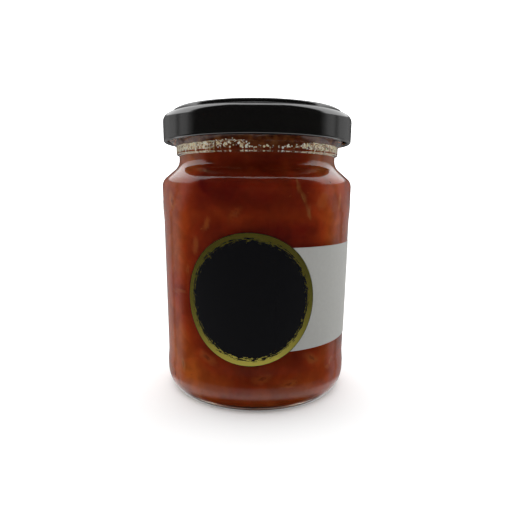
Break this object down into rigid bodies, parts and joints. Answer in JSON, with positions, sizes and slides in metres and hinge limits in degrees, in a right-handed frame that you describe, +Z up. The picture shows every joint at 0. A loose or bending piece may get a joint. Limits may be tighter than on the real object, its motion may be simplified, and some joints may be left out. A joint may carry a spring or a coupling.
{
  "type": "marmalade jar",
  "caption": "Small round glass jar of orange marmalade with a black twist-off metal lid, a round black label ringed in gold and a plain white side label.",
  "frame": {"origin": "centre of the foot, on the plane the jar stands on", "axes": "+Z up along the jar's axis, -Y towards the front with the round label, +X to the viewer's right"},
  "size_m": [0.068, 0.068, 0.0991],
  "materials": {
    "glass": "clear, smooth, faintly green in the thick foot",
    "marmalade": "wet translucent orange-red jelly with fine peel, fruit pieces and foam at the neck; gloss plastic stands in for food",
    "lid": "gloss black lacquer on sheet steel",
    "front_label": "matt black label with a brushed gold foil ring",
    "side_label": "bare white label paper"
  },
  "bodies": {
    "root": {"jar": "glass", "marmalade": "marmalade", "lid": "lid", "front_label": "front_label", "side_label": "side_label"}
  },
  "joints": []
}
